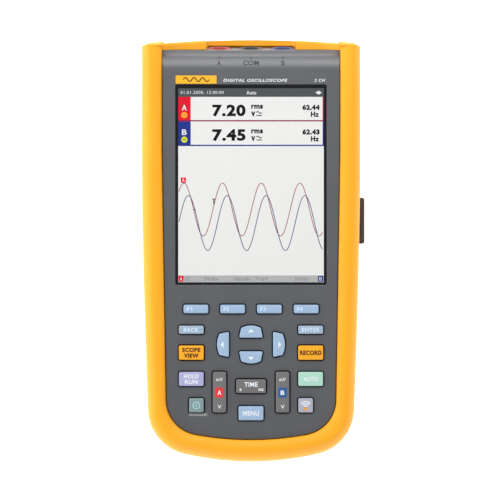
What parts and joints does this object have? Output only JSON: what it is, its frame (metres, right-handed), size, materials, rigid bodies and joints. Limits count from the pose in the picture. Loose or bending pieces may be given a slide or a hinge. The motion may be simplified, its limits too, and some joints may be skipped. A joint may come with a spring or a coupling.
{
  "type": "handheld oscilloscope",
  "caption": "Portrait-screen handheld oscilloscope and meter in a yellow rubber holster, with push keys, rocker keys, input sockets, tilt stand and port cover.",
  "frame": {"origin": "middle of the flat back of the holster, on the surface that the instrument lies on", "axes": "+X to the right of the screen, +Y towards the input sockets, +Z out of the screen"},
  "size_m": [0.1347, 0.259, 0.0555],
  "materials": {
    "holster_rubber": "satin",
    "case_front": "fine texture",
    "case_back": "fine texture",
    "gasket": "matte",
    "window": "polished",
    "display": "smooth",
    "steel": "brushed",
    "flex": "smooth",
    "mat": "matte",
    "board": "solder resist",
    "contacts": "plated",
    "chips": "moulded",
    "radio": "satin",
    "block": "moulded",
    "red_plastic": "moulded",
    "black_plastic": "moulded",
    "blue_plastic": "moulded",
    "battery": "moulded",
    "door": "fine texture",
    "screws": "plated",
    "cover_rubber": "satin",
    "stand": "fine texture",
    "strap": "fine texture",
    "name_plate": "satin",
    "key_blue": "satin",
    "key_steel_blue": "satin",
    "key_yellow": "satin",
    "key_lavender": "satin",
    "key_mint": "satin",
    "key_teal": "satin",
    "key_pale": "satin",
    "key_grey": "satin"
  },
  "bodies": {
    "instrument": {"holster": "holster_rubber", "front_case": "case_front", "rear_case": "case_back", "case_gasket": "gasket", "screen_window": "window", "display_panel": "display", "display_frame": "steel", "ribbon_cable": "flex", "keypad_mat": "mat", "keypad_board": "board", "contact_domes": "contacts", "main_board": "board", "board_components": "chips", "wireless_module": "radio", "clock_cell": "steel", "beeper": "chips", "input_shield": "steel", "input_block": "block", "jack_a": "red_plastic", "jack_com": "black_plastic", "jack_b": "blue_plastic", "jack_contacts": "contacts", "battery_pack": "battery", "battery_contacts": "contacts", "battery_door": "door", "battery_door_screws": "screws", "usb_ports": "steel", "power_inlet": "black_plastic", "port_cover_pin": "screws", "stand_pins": "screws", "strap_bar": "strap", "case_screws": "screws", "board_screws": "screws", "name_strip": "name_plate"},
    "key_f1": {"key_f1": "key_blue"},
    "key_f2": {"key_f2": "key_blue"},
    "key_f3": {"key_f3": "key_blue"},
    "key_f4": {"key_f4": "key_blue"},
    "key_back": {"key_back": "key_steel_blue"},
    "key_enter": {"key_enter": "key_steel_blue"},
    "key_up": {"key_up": "key_blue"},
    "key_down": {"key_down": "key_blue"},
    "key_left": {"key_left": "key_blue"},
    "key_right": {"key_right": "key_blue"},
    "key_scope": {"key_scope": "key_yellow"},
    "key_record": {"key_record": "key_yellow"},
    "key_hold": {"key_hold": "key_lavender"},
    "key_auto": {"key_auto": "key_mint"},
    "key_power": {"key_power": "key_teal"},
    "key_wireless": {"key_wireless": "key_pale"},
    "key_menu": {"key_menu": "key_blue"},
    "rocker_a": {"rocker_a": "key_grey"},
    "rocker_b": {"rocker_b": "key_grey"},
    "rocker_time": {"rocker_time": "key_grey"},
    "tilt_stand": {"tilt_stand": "stand"},
    "port_cover": {"port_cover": "cover_rubber"}
  },
  "joints": [
    {"name": "key_f1_press", "type": "slide", "parent": "instrument", "child": "key_f1", "axis": [0, 0, -1], "range_m": [0, 0.001], "stiffness_N_per_m": 1500},
    {"name": "key_f2_press", "type": "slide", "parent": "instrument", "child": "key_f2", "axis": [0, 0, -1], "range_m": [0, 0.001], "stiffness_N_per_m": 1500},
    {"name": "key_f3_press", "type": "slide", "parent": "instrument", "child": "key_f3", "axis": [0, 0, -1], "range_m": [0, 0.001], "stiffness_N_per_m": 1500},
    {"name": "key_f4_press", "type": "slide", "parent": "instrument", "child": "key_f4", "axis": [0, 0, -1], "range_m": [0, 0.001], "stiffness_N_per_m": 1500},
    {"name": "key_back_press", "type": "slide", "parent": "instrument", "child": "key_back", "axis": [0, 0, -1], "range_m": [0, 0.001], "stiffness_N_per_m": 1500},
    {"name": "key_enter_press", "type": "slide", "parent": "instrument", "child": "key_enter", "axis": [0, 0, -1], "range_m": [0, 0.001], "stiffness_N_per_m": 1500},
    {"name": "key_up_press", "type": "slide", "parent": "instrument", "child": "key_up", "axis": [0, 0, -1], "range_m": [0, 0.001], "stiffness_N_per_m": 1500},
    {"name": "key_down_press", "type": "slide", "parent": "instrument", "child": "key_down", "axis": [0, 0, -1], "range_m": [0, 0.001], "stiffness_N_per_m": 1500},
    {"name": "key_left_press", "type": "slide", "parent": "instrument", "child": "key_left", "axis": [0, 0, -1], "range_m": [0, 0.001], "stiffness_N_per_m": 1500},
    {"name": "key_right_press", "type": "slide", "parent": "instrument", "child": "key_right", "axis": [0, 0, -1], "range_m": [0, 0.001], "stiffness_N_per_m": 1500},
    {"name": "key_scope_press", "type": "slide", "parent": "instrument", "child": "key_scope", "axis": [0, 0, -1], "range_m": [0, 0.001], "stiffness_N_per_m": 1500},
    {"name": "key_record_press", "type": "slide", "parent": "instrument", "child": "key_record", "axis": [0, 0, -1], "range_m": [0, 0.001], "stiffness_N_per_m": 1500},
    {"name": "key_hold_press", "type": "slide", "parent": "instrument", "child": "key_hold", "axis": [0, 0, -1], "range_m": [0, 0.001], "stiffness_N_per_m": 1500},
    {"name": "key_auto_press", "type": "slide", "parent": "instrument", "child": "key_auto", "axis": [0, 0, -1], "range_m": [0, 0.001], "stiffness_N_per_m": 1500},
    {"name": "key_power_press", "type": "slide", "parent": "instrument", "child": "key_power", "axis": [0, 0, -1], "range_m": [0, 0.001], "stiffness_N_per_m": 1500},
    {"name": "key_wireless_press", "type": "slide", "parent": "instrument", "child": "key_wireless", "axis": [0, 0, -1], "range_m": [0, 0.001], "stiffness_N_per_m": 1500},
    {"name": "key_menu_press", "type": "slide", "parent": "instrument", "child": "key_menu", "axis": [0, 0, -1], "range_m": [0, 0.001], "stiffness_N_per_m": 1500},
    {"name": "rocker_a_rock", "type": "hinge", "parent": "instrument", "child": "rocker_a", "pos_m": [-0.0187, -0.0838, 0.0495], "axis": [1, 0, 0], "range_deg": [-3.5, 3.5], "stiffness_Nm_per_rad": 0.25},
    {"name": "rocker_b_rock", "type": "hinge", "parent": "instrument", "child": "rocker_b", "pos_m": [0.0187, -0.0838, 0.0495], "axis": [1, 0, 0], "range_deg": [-3.5, 3.5], "stiffness_Nm_per_rad": 0.25},
    {"name": "rocker_time_rock", "type": "hinge", "parent": "instrument", "child": "rocker_time", "pos_m": [0, -0.0803, 0.0495], "axis": [0, 1, 0], "range_deg": [-4.5, 4.5], "stiffness_Nm_per_rad": 0.25},
    {"name": "tilt_stand_hinge", "type": "hinge", "parent": "instrument", "child": "tilt_stand", "pos_m": [0, 0.04, 0.0028], "axis": [1, 0, 0], "range_deg": [0, 58]},
    {"name": "port_cover_hinge", "type": "hinge", "parent": "instrument", "child": "port_cover", "pos_m": [-0.064, 0.055, 0.0242], "axis": [0, -1, 0], "range_deg": [0, 100]}
  ]
}
